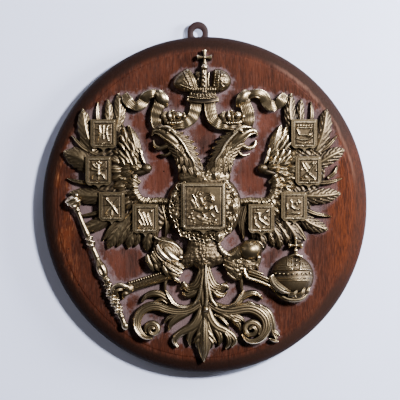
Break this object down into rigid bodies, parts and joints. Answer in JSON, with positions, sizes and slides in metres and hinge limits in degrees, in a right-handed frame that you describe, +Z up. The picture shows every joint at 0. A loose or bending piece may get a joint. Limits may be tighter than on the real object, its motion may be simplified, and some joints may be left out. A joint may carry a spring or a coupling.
{
  "type": "coat of arms emblem",
  "caption": "Round oak wall plaque carrying a cast brass double-headed eagle with crowns, shields, sceptre and orb, hung by a metal eye plate at its top.",
  "frame": {"origin": "centre of the hanger plate's eye, in the plane of the plaque's back", "axes": "+Z up, +X to the viewer's right, the carved face looks along -Y and the back along +Y to the wall"},
  "size_m": [0.39, 0.052, 0.4229],
  "materials": {
    "oak": "dark stained oak, waxed, with grey polish residue round the casting, worm holes and a shrinkage crack",
    "brass": "aged cast brass, dark brown in the hollows and rubbed bright on the high edges",
    "dark_metal": "dark red-brown paint, satin, worn at the edge of the eye"
  },
  "bodies": {
    "root": {"plaque": "oak", "eagle": "brass", "hanger_plate": "dark_metal"}
  },
  "joints": []
}
